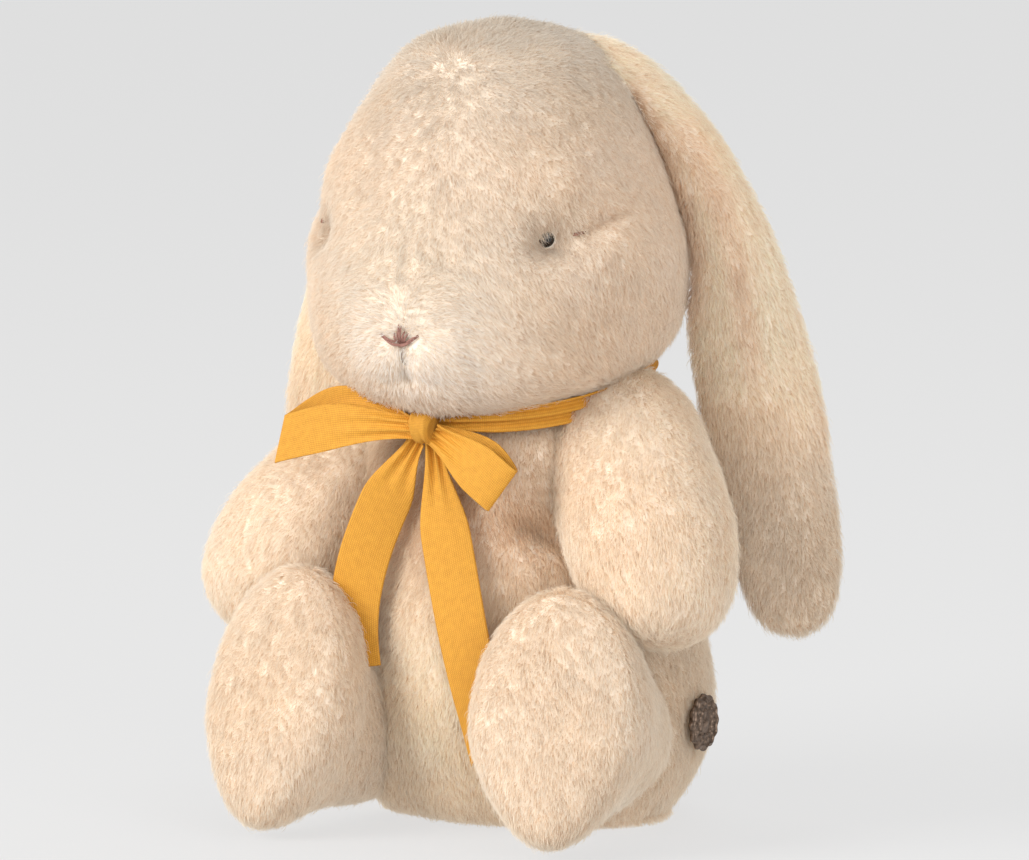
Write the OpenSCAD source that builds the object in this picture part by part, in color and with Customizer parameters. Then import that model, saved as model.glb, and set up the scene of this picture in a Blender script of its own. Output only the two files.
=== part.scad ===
// Seated plush bunny with long hanging ears and a ribbon tied in a bow.
// Millimetres, +Z up. The bunny faces -Y and its left side is +X.
// The origin is on the floor, under the middle of the body.

/* [Body] */
// Half of the body's greatest width
body_half_width = 59.5; // [56:0.5:62]
// Thickness of the plush fabric, backing and short pile together
fabric = 1.6; // [1.2:0.1:2]
// Height of the neck seam's middle
neck_z = 140; // [139:0.5:141]
// Forward lean of the neck seam, in degrees
neck_lean = 12; // [10:0.5:13]
// Radius of the firm plug of stuffing in the neck
neck_plug_r = 15; // [12:0.5:15]

/* [Head] */
// Half of the head's greatest width
head_half_width = 57; // [54:0.5:58]
// Height of the top of the head
head_top_z = 254; // [253:0.5:255]
// Diameter of an eye bead
eye_d = 8; // [6:0.5:9]
// Width of the embroidered nose
nose_w = 13; // [10:0.5:15]

/* [Limbs] */
// Radius of a paw
paw_r = 20.5; // [19:0.5:21]
// Half of a foot's width
foot_half_width = 25.5; // [23:0.5:26]
// Half of a foot sole's height
foot_half_height = 39.5; // [36:0.5:40]
// Half of an ear's greatest width
ear_half_width = 18; // [15:0.5:19]

/* [Ribbon and badge] */
// Width of the ribbon
ribbon_w = 16; // [12:0.5:16]
// Thickness of the ribbon
ribbon_t = 0.7; // [0.5:0.1:1]
// Diameter of the badge on the hip
badge_d = 18; // [14:0.5:20]
// Diameter of one pellet in the pouch
pellet_d = 5; // [4:0.5:5]

/* [Hidden] */

fur = [0.97, 0.88, 0.78];
fibre = [0.98, 0.97, 0.94];
gold = [0.91, 0.66, 0.2];
bronze = [0.42, 0.34, 0.24];
thread = [0.5, 0.3, 0.26];
seam_gap = 0.35;          // half of the opening between two panels, in degrees
stuffing_gap = 0.35;      // from the fabric to the stuffing
body_stuffing_gap = 1.6;  // the same in the body, whose sides are pressed in by the limbs
limb_gap = 2.6;           // from the body's fabric to an arm or a leg
neck_pivot = [0, -1, neck_z];
plug_gap = 0.4;           // from the plug to the stuffing round it
shoulder = [46, -9, 107];
paw = [75, -29, 79];
hip = [40, -20, 31];
foot = [50, -64, 41];
arm_swings = [-2, 12, 26, 40];   // forward is positive
leg_swings = [-22, -9, 4];       // up is positive

// ---------- points and surfaces ----------
function unit(v) = v / norm(v);
function spline_value(a, b, c, d, t) =
    0.5 * (2 * b + (c - a) * t + (2 * a - 5 * b + 4 * c - d) * t * t
        + (3 * b - a - 3 * c + d) * t * t * t);
// A smooth curve through equally spaced stations; t runs from 0 to len(s) - 1.
function spline(s, t) =
    let (n = len(s) - 1, i = min(floor(t), n - 1))
    spline_value(s[max(i - 1, 0)], s[i], s[i + 1], s[min(i + 2, n)], t - i);
function resample(s, rings) = [for (i = [0:rings]) spline(s, i * (len(s) - 1) / rings)];
function turned_x(p, centre, angle) =
    let (q = p - centre)
    centre + [q[0], q[1] * cos(angle) - q[2] * sin(angle), q[1] * sin(angle) + q[2] * cos(angle)];

// A panel of fabric between an outer and an inner grid of points, closed on all its edges.
module panel(outer, inner) {
    rows = len(outer);
    cols = len(outer[0]);
    half = rows * cols;
    function o(i, j) = i * cols + j;
    function n(i, j) = half + i * cols + j;
    points = [for (grid = [outer, inner]) for (row = grid) for (p = row) p];
    sides = [for (i = [0:rows - 2]) for (j = [0:cols - 2]) each [
        [o(i, j), o(i + 1, j), o(i + 1, j + 1)],
        [o(i, j), o(i + 1, j + 1), o(i, j + 1)],
        [n(i, j), n(i + 1, j + 1), n(i + 1, j)],
        [n(i, j), n(i, j + 1), n(i + 1, j + 1)]]];
    ends = [for (j = [0:cols - 2]) each [
        [o(0, j), o(0, j + 1), n(0, j + 1)],
        [o(0, j), n(0, j + 1), n(0, j)],
        [o(rows - 1, j + 1), o(rows - 1, j), n(rows - 1, j)],
        [o(rows - 1, j + 1), n(rows - 1, j), n(rows - 1, j + 1)]]];
    edges = [for (i = [0:rows - 2]) each [
        [o(i + 1, 0), o(i, 0), n(i, 0)],
        [o(i + 1, 0), n(i, 0), n(i + 1, 0)],
        [o(i, cols - 1), o(i + 1, cols - 1), n(i + 1, cols - 1)],
        [o(i, cols - 1), n(i + 1, cols - 1), n(i, cols - 1)]]];
    polyhedron(points, concat(sides, ends, edges));
}

// A closed solid through rings of points, with a fan over each end.
module loft(rings) {
    rows = len(rings);
    cols = len(rings[0]);
    function mean(ring) = [for (p = ring) 1] * ring / len(ring);
    points = concat([for (row = rings) for (p = row) p], [mean(rings[0]), mean(rings[rows - 1])]);
    sides = [for (i = [0:rows - 2]) for (j = [0:cols - 1])
        let (k = (j + 1) % cols, a = i * cols, b = a + cols) each [
        [a + j, b + j, b + k],
        [a + j, b + k, a + k]]];
    last = (rows - 1) * cols;
    ends = [for (j = [0:cols - 1]) let (k = (j + 1) % cols) each [
        [j, k, rows * cols],
        [last + k, last + j, rows * cols + 1]]];
    polyhedron(points, concat(sides, ends));
}

// ---------- head and body rings ----------
// A station is [z, centre y, half width, reach to the front, reach to the back, lean].
function oval_point(s, a, inset) =
    let (x = s[2] * cos(a),
         y = (sin(a) < 0 ? s[3] : s[4]) * sin(a),
         length = norm([x, y]),
         k = max(length - inset, 0.3) / length)
    [x * k, s[1] + y * k * cos(s[5]), s[0] + y * k * sin(s[5])];

// The head's stations
hw = head_half_width;
ht = head_top_z;
HEAD = [
    [142.5, -3, 36, 38, 33, 12],
    [147.5, -5, 47, 52, 44, 9],
    [155, -6, hw - 3, 61, 54, 6],
    [168, -7, hw, 65, 62, 2],
    [184, -7, hw - 1, 63, 62, 0],
    [201, -7, hw - 5, 57, 57, 0],
    [218, -7, hw - 12, 49, 50, 0],
    [233, -6, hw - 19.5, 39, 42, 0],
    [244, -5, hw - 28, 29, 31, 0],
    [ht - 3, -4, hw - 39, 18, 19, 0],
    [ht, -3, 3, 3, 3, 0]
];
function head_row(s, from, to, cols, inset) =
    [for (j = [0:cols]) oval_point(s, from + (to - from) * j / cols, inset)];
module head_panel(from, to, cols) {
    rings = resample(HEAD, 13);
    a = from + seam_gap;
    b = to - seam_gap;
    color(fur) panel([for (s = rings) head_row(s, a, b, cols, 0)],
        [for (s = rings) head_row(s, a, b, cols, fabric)]);
}

// The body's stations
bw = body_half_width;
BODY = [
    [0.4, 8, bw - 14, 29, 45.5, 0],
    [8, 8, bw - 7.5, 37, 53.5, 0],
    [20, 8, bw - 2.5, 42.5, 57, 0],
    [38, 8, bw, 47, 57, 0],
    [58, 6, bw - 1.5, 48, 54, 0],
    [80, 3, bw - 6.5, 45, 49, 2],
    [102, 0, bw - 12.5, 43, 44, 6],
    [120, -2, bw - 17, 41, 40, 10],
    [134.5, -1, 38, 37, 36, neck_lean]
];
// Balls that fill the space an arm or a leg moves through: [centre, radius]
arm_dir = unit(paw - shoulder);
leg_dir = unit(foot - hip);
ARM_BALLS = [[0, 19.5], [10, 21.5], [22, 23], [34, 22.4], [46, paw_r]];
LEG_BALLS = [[0, 24], [10, 25], [20, 28], [30, 31.5]];
function swept_balls(balls, start, dir, swings) =
    [for (b = balls) for (w = swings)
        [turned_x(start + dir * b[0], start, -w), b[1] + limb_gap]];
LEFT_BALLS = concat(swept_balls(ARM_BALLS, shoulder, arm_dir, arm_swings),
    swept_balls(LEG_BALLS, hip, leg_dir, leg_swings));
// How far along c + t*d, for t from 0 to 1, a ball begins; 1 if it isn't in the way.
function ball_start(c, d, centre, radius) =
    let (m = c - centre,
         a = d * d,
         b = m * d,
         q = b * b - a * (m * m - radius * radius))
    q <= 0 || b >= 0 ? 1 : max(0.15, min(1, (-b - sqrt(q)) / a));
function body_point(s, a, inset) =
    let (p = oval_point(s, a, inset),
         q = p[0] < 0 ? [-p[0], p[1], p[2]] : p,
         c = [0, s[1], s[0]],
         d = q - c,
         t = min([for (ball = LEFT_BALLS) ball_start(c, d, ball[0], ball[1] + inset)]),
         r = c + d * t)
    p[0] < 0 ? [-r[0], r[1], r[2]] : r;
function body_row(s, from, to, cols, inset) =
    [for (j = [0:cols]) body_point(s, from + (to - from) * j / cols, inset)];
module body_panel(from, to, cols) {
    rings = resample(BODY, 15);
    a = from + seam_gap;
    b = to - seam_gap;
    color(fur) panel([for (s = rings) body_row(s, a, b, cols, 0)],
        [for (s = rings) body_row(s, a, b, cols, fabric)]);
}

// Rings that close a lofted end round the neck plug; dir is 1 upwards and -1 downwards.
function plug_row(height, radius, cols) =
    [for (j = [0:cols - 1]) let (a = 360 * j / cols)
        turned_x(neck_pivot + [radius * cos(a), radius * sin(a), height], neck_pivot, neck_lean)];
socket_r = neck_plug_r + plug_gap;
function socket_rows(side, cols) =
    [for (a = [8:14:78]) plug_row(side * socket_r * sin(a), socket_r * cos(a), cols)];

// ---------- head ----------
module face_left() head_panel(-90, 8, 11);
module face_right() head_panel(172, 270, 11);
module head_back() head_panel(8, 172, 16);

module head_stuffing() {
    cols = 24;
    inset = fabric + 3 * stuffing_gap;
    step = 360 / cols;
    rings = resample(HEAD, 9);
    skin = [for (s = rings) head_row(s, 0, 360 - step, cols - 1, inset)];
    socket = socket_rows(1, cols);
    color(fibre) loft(concat([for (i = [5:-1:0]) socket[i]], skin));
}

eye = [40.3, -50.6, 190];
module eye_bead(side) {
    color([0.05, 0.04, 0.04]) translate([side * eye[0], eye[1], eye[2]]) sphere(d = eye_d, $fn = 32);
}
module eye_left() eye_bead(1);
module eye_right() eye_bead(-1);
module eye_thread() {
    span = 2 * eye[0] - eye_d;
    color(thread) translate([-span / 2, eye[1], eye[2]]) rotate([0, 90, 0]) cylinder(h = span, r = 0.7, $fn = 24);
}

// The nose is a satin-stitched cross with a wide top bar.
nose_pos = [0, -72.3, 160];
module nose_stitch() {
    w = nose_w;
    outline = [[-w / 2, w * 0.28], [w / 2, w * 0.28], [w * 0.36, 0], [w * 0.14, -w * 0.2],
        [0, -w * 0.46], [-w * 0.14, -w * 0.2], [-w * 0.36, 0]];
    color(thread) translate(nose_pos) rotate([90, 0, 0]) linear_extrude(1.4) polygon(outline);
}
module mouth_stitch() {
    color(thread) translate([0, -70.2, 146]) rotate([-8, 0, 0]) cylinder(h = 8, r = 0.8, $fn = 24);
}

// ---------- ears ----------
// A station is [x, y, z, half width, half thickness, turn of the width about Z].
ew = ear_half_width;
EAR = [
    [30, 11, 246.2, ew - 9.5, 2.2, 62],
    [41, 15.5, 237.2, ew - 9, 3, 56],
    [51, 19.5, 214, ew - 8.5, 3.4, 48],
    [61.5, 22, 195, ew - 7, 3.6, 40],
    [68.5, 24, 171, ew - 3.5, 3.8, 33],
    [74.5, 26, 142, ew - 0.8, 4, 30],
    [80, 27.5, 114, ew, 4, 30],
    [84, 28, 88, ew - 3, 3.8, 30],
    [86.5, 28.5, 70, ew - 8, 3.2, 30],
    [88, 28.5, 60, 2.5, 1.2, 30]
];
ear_rows = 16;
EAR_RINGS = resample(EAR, ear_rows);
function ear_dir(i) =
    let (a = EAR_RINGS[max(i - 1, 0)], b = EAR_RINGS[min(i + 1, ear_rows)])
    unit([b[0] - a[0], b[1] - a[1], b[2] - a[2]]);
// The ear's edge stays just outside the head.
HEAD_WIDTHS = [for (s = HEAD) [s[0], s[2]]];
HEAD_BACKS = [for (s = HEAD) [s[0], s[4]]];
function off_head(p, gap) =
    let (y = p[1] + 7,
         w = lookup(p[2], HEAD_WIDTHS) + gap,
         b = lookup(p[2], HEAD_BACKS) + gap,
         k = norm([p[0] / w, y / b]))
    p[2] < 145 || k >= 1 ? p : [p[0] / k, y / k - 7, p[2]];
function ear_point(i, a, inset) =
    let (s = EAR_RINGS[i],
         d = ear_dir(i),
         flat = [cos(s[5]), sin(s[5]), 0],
         wide = unit(flat - d * (flat * d)),
         thick = cross(d, wide))
    off_head([s[0], s[1], s[2]] + wide * (max(s[3] - inset, 0.8) * cos(a))
        + thick * (max(s[4] - inset, 0.35) * sin(a)), 3.1 + inset);
module ear_panel(from, to) {
    cols = 6;
    outer = [for (i = [0:ear_rows]) [for (j = [0:cols]) ear_point(i, from + (to - from) * j / cols, 0)]];
    inner = [for (i = [0:ear_rows]) [for (j = [0:cols]) ear_point(i, from + (to - from) * j / cols, 1.1)]];
    color(fur) panel(outer, inner);
}
module ear_front() ear_panel(2, 178);
module ear_back() ear_panel(182, 358);
module ear_filling() {
    cols = 10;
    color(fibre) loft([for (i = [1:ear_rows - 1])
        [for (j = [0:cols - 1]) ear_point(i, 360 * j / cols, 1.5)]]);
}
module ear_left_front() ear_front();
module ear_left_back() ear_back();
module ear_left_filling() ear_filling();
module ear_right_front() mirror([1, 0, 0]) ear_front();
module ear_right_back() mirror([1, 0, 0]) ear_back();
module ear_right_filling() mirror([1, 0, 0]) ear_filling();

// ---------- neck ----------
module neck_plug() {
    color(fibre) translate(neck_pivot) sphere(r = neck_plug_r, $fn = 64);
}

// ---------- body ----------
module body_front() body_panel(200, 340, 16);
module body_back_left() body_panel(-20, 90, 13);
module body_back_right() body_panel(90, 200, 13);
module body_base() {
    cols = 40;
    outline = [for (j = [0:cols - 1])
        let (p = body_point(BODY[0], 360 * j / cols, fabric + stuffing_gap)) [p[0], p[1]]];
    color(fur) linear_extrude(fabric) polygon(outline);
}

pouch_r = 30;
pouch_top = 19;
pouch_y = 12;
pouch_wall = 0.8;
module body_stuffing() {
    cols = 40;
    inset = fabric + body_stuffing_gap;
    step = 360 / cols;
    rings = [for (s = resample(BODY, 15)) if (s[0] > pouch_top + 3) s];
    skin = [for (s = rings) body_row(s, 0, 360 - step, cols - 1, inset)];
    socket = socket_rows(-1, cols);
    color(fibre) loft(concat(skin, socket));
}
module pouch_profile(inset) {
    low = fabric + 1 + inset;
    high = pouch_top - inset;
    polygon([[0, low], [pouch_r - 6, low], [pouch_r - inset, (low + high) / 2],
        [pouch_r - 6, high], [0, high]]);
}
module pellet_pouch() {
    color([0.85, 0.85, 0.82]) translate([0, pouch_y, 0]) difference() {
        rotate_extrude($fn = 48) pouch_profile(0);
        rotate_extrude($fn = 48) pouch_profile(pouch_wall);
    }
}
pellet_pitch = pellet_d + 0.3;
module pellets() {
    color([0.95, 0.95, 0.97]) for (layer = [0:1]) for (i = [-4:4]) for (j = [-4:4]) {
        x = (i + (j % 2) / 2 + layer / 2) * pellet_pitch;
        y = j * pellet_pitch * 0.87;
        if (norm([x, y]) < pouch_r - 10)
            translate([x, pouch_y + y, 6.2 + layer * pellet_pitch]) sphere(d = pellet_d, $fn = 24);
    }
}
tail_pos = [0, 65.6, 32];
module tail_pompom() {
    color(fur) translate(tail_pos) rotate([-90, 0, 0]) rotate_extrude($fn = 48)
        polygon([[0, 0], [8, 0], [12, 3], [13.5, 7], [12.5, 11], [9, 14.5], [4.5, 16.4], [0, 17]]);
}

// ---------- badge ----------
badge_pos = [body_half_width + 0.6, 11, 33];
badge_turn = 8;
scallops = 12;
module on_hip(depth) {
    translate(badge_pos) rotate([0, 0, badge_turn]) translate([depth, 0, 0]) rotate([0, 90, 0]) children();
}
module badge_plate() {
    edge = badge_d / 2 - 1.6;
    color(bronze) on_hip(0) linear_extrude(1.4) union() {
        circle(r = edge, $fn = 48);
        for (i = [0:scallops - 1]) rotate(360 * i / scallops) translate([edge - 0.7, 0]) circle(r = 2.3, $fn = 24);
    }
}
module badge_stud() {
    color(bronze) on_hip(-5) cylinder(h = 5, r = 1.2, $fn = 24);
}
module badge_washer() {
    color(bronze) on_hip(-4) difference() {
        cylinder(h = 0.8, r = 4, $fn = 32);
        translate([0, 0, -1]) cylinder(h = 3, r = 1.25, $fn = 24);
    }
}

// ---------- arms and legs ----------
// A limb's rings stand across its axis; a station is [along, half width, half height, lift].
function limb_point(start, dir, s, a, inset) =
    let (side = unit(cross([0, 0, 1], dir)), up = cross(dir, side))
    start + dir * s[0] + up * s[3]
    + side * (max(s[1] - inset, 0.5) * cos(a)) + up * (max(s[2] - inset, 0.5) * sin(a));
function limb_rows(start, dir, rings, from, to, cols, inset) =
    [for (s = rings) [for (j = [0:cols]) limb_point(start, dir, s, from + (to - from) * j / cols, inset)]];
module limb_panel(start, dir, rings, from, to) {
    cols = 9;
    color(fur) panel(limb_rows(start, dir, rings, from + 1, to - 1, cols, 0),
        limb_rows(start, dir, rings, from + 1, to - 1, cols, fabric));
}
module limb_stuffing(start, dir, rings) {
    cols = 14;
    step = 360 / cols;
    color(fibre) loft(limb_rows(start, dir, rings, 0, 360 - step, cols - 1, fabric + 2 * stuffing_gap));
}

arm_length = norm(paw - shoulder);
ARM = [
    [-18.4, 5, 5, 0],
    [-12, 14.8, 14.8, 0],
    [0, 19.2, 19.2, 0],
    [12, 21.4, 21.4, 0],
    [24, 22.6, 22.6, 0],
    [35, 22, 22, 0],
    [arm_length, paw_r, paw_r, 0],
    [arm_length + 11, paw_r - 3, paw_r - 3, 0],
    [arm_length + 18, paw_r - 10, paw_r - 10, 0],
    [arm_length + 21, 3, 3, 0]
];
ARM_RINGS = resample(ARM, 12);
module arm_outer() limb_panel(shoulder, arm_dir, ARM_RINGS, 0, 180);
module arm_inner() limb_panel(shoulder, arm_dir, ARM_RINGS, 180, 360);
module arm_stuffing() limb_stuffing(shoulder, arm_dir, [for (i = [1:11]) ARM_RINGS[i]]);
module arm_left_outer() arm_outer();
module arm_left_inner() arm_inner();
module arm_left_stuffing() arm_stuffing();
module arm_right_outer() mirror([1, 0, 0]) arm_outer();
module arm_right_inner() mirror([1, 0, 0]) arm_inner();
module arm_right_stuffing() mirror([1, 0, 0]) arm_stuffing();

sole_at = norm(foot - hip);
fw = foot_half_width;
fh = foot_half_height;
LEG = [
    [-23, 6, 6, 0],
    [-16, 17.8, 17.8, 0],
    [0, 24, 24, 0],
    [14, fw - 1, 26, 0],
    [26, fw, 31.5, 1],
    [36, fw, fh - 1, 1.5],
    [sole_at - 3, fw - 1, fh - 0.5, 1.2],
    [sole_at + 0.5, fw - 4, fh - 4, 1]
];
LEG_RINGS = resample(LEG, 10);
module leg_outer() limb_panel(hip, leg_dir, LEG_RINGS, -90, 90);
module leg_inner() limb_panel(hip, leg_dir, LEG_RINGS, 90, 270);
module leg_stuffing() {
    last = sole_at - 1;
    limb_stuffing(hip, leg_dir, concat([for (s = LEG_RINGS) if (s[0] > -20 && s[0] < last - 2) s],
        [[last, fw - 5, fh - 5, 1]]));
}
module foot_sole() {
    cols = 28;
    step = 360 / cols;
    rings = [for (s = [[sole_at + 0.9, fw - 4.4, fh - 4.4, 1], [sole_at + 3, fw - 5.4, fh - 5.4, 1],
        [sole_at + 4.6, fw - 9, fh - 9, 1], [sole_at + 5.4, fw - 17, fh - 20, 1]]) s];
    color(fur) loft(limb_rows(hip, leg_dir, rings, 0, 360 - step, cols - 1, 0));
}
module leg_left_outer() leg_outer();
module leg_left_inner() leg_inner();
module leg_left_stuffing() leg_stuffing();
module foot_left_sole() foot_sole();
module leg_right_outer() mirror([1, 0, 0]) leg_outer();
module leg_right_inner() mirror([1, 0, 0]) leg_inner();
module leg_right_stuffing() mirror([1, 0, 0]) leg_stuffing();
module foot_right_sole() mirror([1, 0, 0]) foot_sole();

// ---------- ribbon ----------
band_r = 45;
// The band follows the neck seam, and hangs lower at the back.
function band_point(a, radius, height) =
    let (drop = -4.2 - 9 * pow(max(0, sin(a)), 2),
         p = [radius * cos(a), radius * sin(a), height + drop])
    turned_x(neck_pivot + p, neck_pivot, neck_lean);
module ribbon_neckband() {
    cols = 40;
    half = ribbon_w / 2;
    corners = [[band_r, -half], [band_r + ribbon_t, -half], [band_r + ribbon_t, half], [band_r, half]];
    rows = [for (j = [0:cols - 1]) [for (c = corners) band_point(360 * j / cols, c[0], c[1])]];
    points = [for (row = rows) for (p = row) p];
    faces = [for (j = [0:cols - 1]) for (c = [0:3])
        let (k = (j + 1) % cols, e = (c + 1) % 4) each [
        [4 * j + c, 4 * j + e, 4 * k + e],
        [4 * j + c, 4 * k + e, 4 * k + c]]];
    color(gold) polyhedron(points, faces);
}

knot = [-2, -53, 126];
knot_r = 5.6;
knot_half = 6;
module bow_knot() {
    r = knot_r;
    h = knot_half;
    color(gold) translate(knot) rotate([0, 90, 0]) rotate_extrude($fn = 48)
        polygon([[0, -h], [r - 2, -h], [r - 0.6, -h * 0.6], [r, 0], [r - 0.6, h * 0.6], [r - 2, h], [0, h]]);
}

// A loop is a band bent back on itself, in a drop shape that is narrow at the knot.
function drop(length, half_gap) =
    [for (a = [0:12:348]) [length * (1 - cos(a)) / 2, half_gap * sin(a) * sin(a / 2)]];
module loop(length, yaw, pitch, side) {
    start = knot + [side * (knot_half + 1.8), 0, 0];
    color(gold) translate(start) rotate([0, side > 0 ? pitch : -pitch, 0])
        rotate([0, 0, side > 0 ? yaw : 180 - yaw]) translate([0, 0, -ribbon_w / 2])
        linear_extrude(ribbon_w) difference() {
            polygon(drop(length, 2.9));
            translate([ribbon_t, 0]) polygon(drop(length - 2 * ribbon_t, 2.9 - ribbon_t));
        }
}
module bow_loop_left() loop(27, 2, 30, 1);
module bow_loop_right() loop(46, 8, 3, -1);

// A tail is a flat strip along points that lie on the chest: [x, y, z, turn about Z].
module tail_strip(route) {
    half = ribbon_w / 2;
    rings = resample(route, 10);
    rows = [for (s = rings)
        let (across = [cos(s[3]), sin(s[3]), 0] * half, out = [sin(s[3]), -cos(s[3]), 0] * ribbon_t / 2)
        [for (k = [[-1, 1], [-1, -1], [1, -1], [1, 1]]) [s[0], s[1], s[2]] + across * k[0] + out * k[1]]];
    color(gold) loft(rows);
}
TAIL_LEFT = [[0, -50.5, 119, 0], [3, -50.5, 100, 0], [6, -49.5, 84, 0], [10, -48.5, 66, 0],
    [12, -47.5, 48, 0], [12, -47, 30, 0]];
TAIL_RIGHT = [[-10.5, -51, 119, -4], [-20, -50, 106, -14], [-29, -46, 93, -28], [-33, -42, 82, -38],
    [-34, -40, 73, -42]];
module bow_tail_left() tail_strip(TAIL_LEFT);
module bow_tail_right() tail_strip(TAIL_RIGHT);

face_left();
face_right();
head_back();
head_stuffing();
eye_left();
eye_right();
eye_thread();
nose_stitch();
mouth_stitch();
ear_left_front();
ear_left_back();
ear_left_filling();
ear_right_front();
ear_right_back();
ear_right_filling();
neck_plug();
body_front();
body_back_left();
body_back_right();
body_base();
body_stuffing();
pellet_pouch();
pellets();
tail_pompom();
badge_plate();
badge_stud();
badge_washer();
arm_left_outer();
arm_left_inner();
arm_left_stuffing();
arm_right_outer();
arm_right_inner();
arm_right_stuffing();
leg_left_outer();
leg_left_inner();
leg_left_stuffing();
foot_left_sole();
leg_right_outer();
leg_right_inner();
leg_right_stuffing();
foot_right_sole();
ribbon_neckband();
bow_knot();
bow_loop_left();
bow_loop_right();
bow_tail_left();
bow_tail_right();
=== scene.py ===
import math

import bpy
import numpy as np
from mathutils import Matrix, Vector


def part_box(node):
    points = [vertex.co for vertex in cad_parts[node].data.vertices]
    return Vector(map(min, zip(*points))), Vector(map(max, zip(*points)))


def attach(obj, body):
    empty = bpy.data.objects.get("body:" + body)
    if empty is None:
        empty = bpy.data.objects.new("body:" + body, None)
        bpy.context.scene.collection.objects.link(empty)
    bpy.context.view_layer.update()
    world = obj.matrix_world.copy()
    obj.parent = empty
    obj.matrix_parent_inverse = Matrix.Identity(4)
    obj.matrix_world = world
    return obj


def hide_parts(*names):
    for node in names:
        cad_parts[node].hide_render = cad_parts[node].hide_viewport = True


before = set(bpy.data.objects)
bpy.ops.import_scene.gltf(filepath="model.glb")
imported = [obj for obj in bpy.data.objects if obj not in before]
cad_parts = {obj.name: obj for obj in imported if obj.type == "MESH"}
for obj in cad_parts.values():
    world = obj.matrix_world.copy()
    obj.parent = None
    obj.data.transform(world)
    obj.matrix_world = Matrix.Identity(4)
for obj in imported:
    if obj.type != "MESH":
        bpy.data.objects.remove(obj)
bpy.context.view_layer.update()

MM = 0.001

# ---------------------------------------- settings, in mm
SKIN_INSET = 0.8          # the skin lies this far inside the CAD surface, under the fur
STRANDS = 3.8   # fur strands per square mm
STRAND_RADIUS = 0.062
STRAND_POINTS = 5
RIBBON_WIDTH = 16.0
RIBBON_THICKNESS = 0.45
BAND_WIDTH = 10.0           # how much of the band's width shows, gathered under the chin
GATHER_FOLDS = 2.5          # lengthwise folds in the gathered band
GATHER_DEPTH = 1.15         # how far they go in and out: folded, the band is still 16 mm of cloth
SIDES = {1: "left", -1: "right"}


def cad_box(*nodes):
    """Lowest and highest corners of some CAD nodes together, in mm."""
    boxes = [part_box(n) for n in nodes]
    low = np.min([list(b[0]) for b in boxes], axis=0) / MM
    high = np.max([list(b[1]) for b in boxes], axis=0) / MM
    return low, high


def cad_centre(*nodes):
    """The middle of some CAD nodes' box, in mm."""
    low, high = cad_box(*nodes)
    return (low + high) / 2


# ---------------------------------------- numbers and noise
def unit(v):
    """Vectors scaled to length 1."""
    v = np.asarray(v, float)
    return v / np.maximum(np.linalg.norm(v, axis=-1, keepdims=True), 1e-9)


def square_to(v, axis):
    """The part of some vectors at right angles to unit vectors."""
    return v - axis * (v * axis).sum(-1, keepdims=True)


def columns(x, y, z):
    """Rows of x, y and z; any of them may be one number."""
    return np.concatenate(np.broadcast_arrays(x, y, z), 1)


def smooth(t):
    """An eased step from 0 to 1 as t goes from 0 to 1."""
    t = np.clip(t, 0, 1)
    return t * t * (3 - 2 * t)


def lattice(i, j, k, seed):
    """A fixed random number from -1 to 1 for each cell of a grid."""
    h = (i * 73856093) ^ (j * 19349663) ^ (k * 83492791) ^ (seed * 40503)
    h = (h ^ (h >> 13)) * 1274126177
    h = (h ^ (h >> 16)) & 0xFFFFF
    return h / 524287.5 - 1


def noise(p, scale, seed):
    """Smooth noise from -1 to 1 at points p, with features about scale mm across."""
    q = np.asarray(p) / scale + 31.7 * seed
    cell = np.floor(q).astype(np.int64)
    f = smooth(q - cell)
    total = 0
    for dx in (0, 1):
        for dy in (0, 1):
            for dz in (0, 1):
                weight = (f[..., 0] if dx else 1 - f[..., 0])
                weight = weight * (f[..., 1] if dy else 1 - f[..., 1])
                weight = weight * (f[..., 2] if dz else 1 - f[..., 2])
                value = lattice(cell[..., 0] + dx, cell[..., 1] + dy, cell[..., 2] + dz, seed)
                total = total + weight * value
    return total


def nearest_tuft(p, scale, seed):
    """The nearest of a set of scattered tuft centres, about scale mm apart."""
    q = p / scale
    cell = np.floor(q).astype(np.int64)
    best = np.full(len(p), 1e9)
    centre = np.zeros_like(p)
    for dx in (-1, 0, 1):
        for dy in (-1, 0, 1):
            for dz in (-1, 0, 1):
                c = cell + [dx, dy, dz]
                jitter = np.stack(
                    [lattice(c[:, 0], c[:, 1], c[:, 2], seed + k) for k in (1, 2, 3)], 1)
                spot = c + 0.5 + 0.5 * jitter
                gap = ((spot - q) ** 2).sum(1)
                closer = gap < best
                best[closer] = gap[closer]
                centre[closer] = spot[closer]
    return centre * scale


def turns(count):
    """Evenly spaced angles round a full turn."""
    return np.arange(count) * 2 * math.pi / count


def run(points):
    """How far along a line each of its points is."""
    steps = np.linalg.norm(np.diff(points, axis=0), axis=1)
    return np.concatenate([[0], np.cumsum(steps)])


def spaced(dense, length, count):
    """Rows of a table at even steps of length, which says how far along each row is."""
    want = np.linspace(0, length[-1], count)
    return np.stack([np.interp(want, length, column) for column in dense.T], 1)


def near_path(p, path):
    """Distance from a line through some points, and how far along it, from 0 to 1."""
    path = np.asarray(path, float)
    parts = np.linalg.norm(np.diff(path, axis=0), axis=1)
    starts = np.concatenate([[0], np.cumsum(parts)])
    best = np.full(p.shape[:-1], 1e9)
    along = np.zeros(p.shape[:-1])
    for a, b, start, part in zip(path[:-1], path[1:], starts, parts):
        t = np.clip(((p - a) @ (b - a)) / part ** 2, 0, 1)
        gap = np.linalg.norm(p - (a + t[..., None] * (b - a)), axis=-1)
        closer = gap < best
        best = np.where(closer, gap, best)
        along = np.where(closer, (start + t * part) / starts[-1], along)
    return best, along


def hill(p, centre, radius):
    """A soft round hill, 1 at its centre."""
    d = np.linalg.norm((p - np.asarray(centre, float)) / np.asarray(radius, float), axis=-1)
    return np.exp(-d * d)


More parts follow.
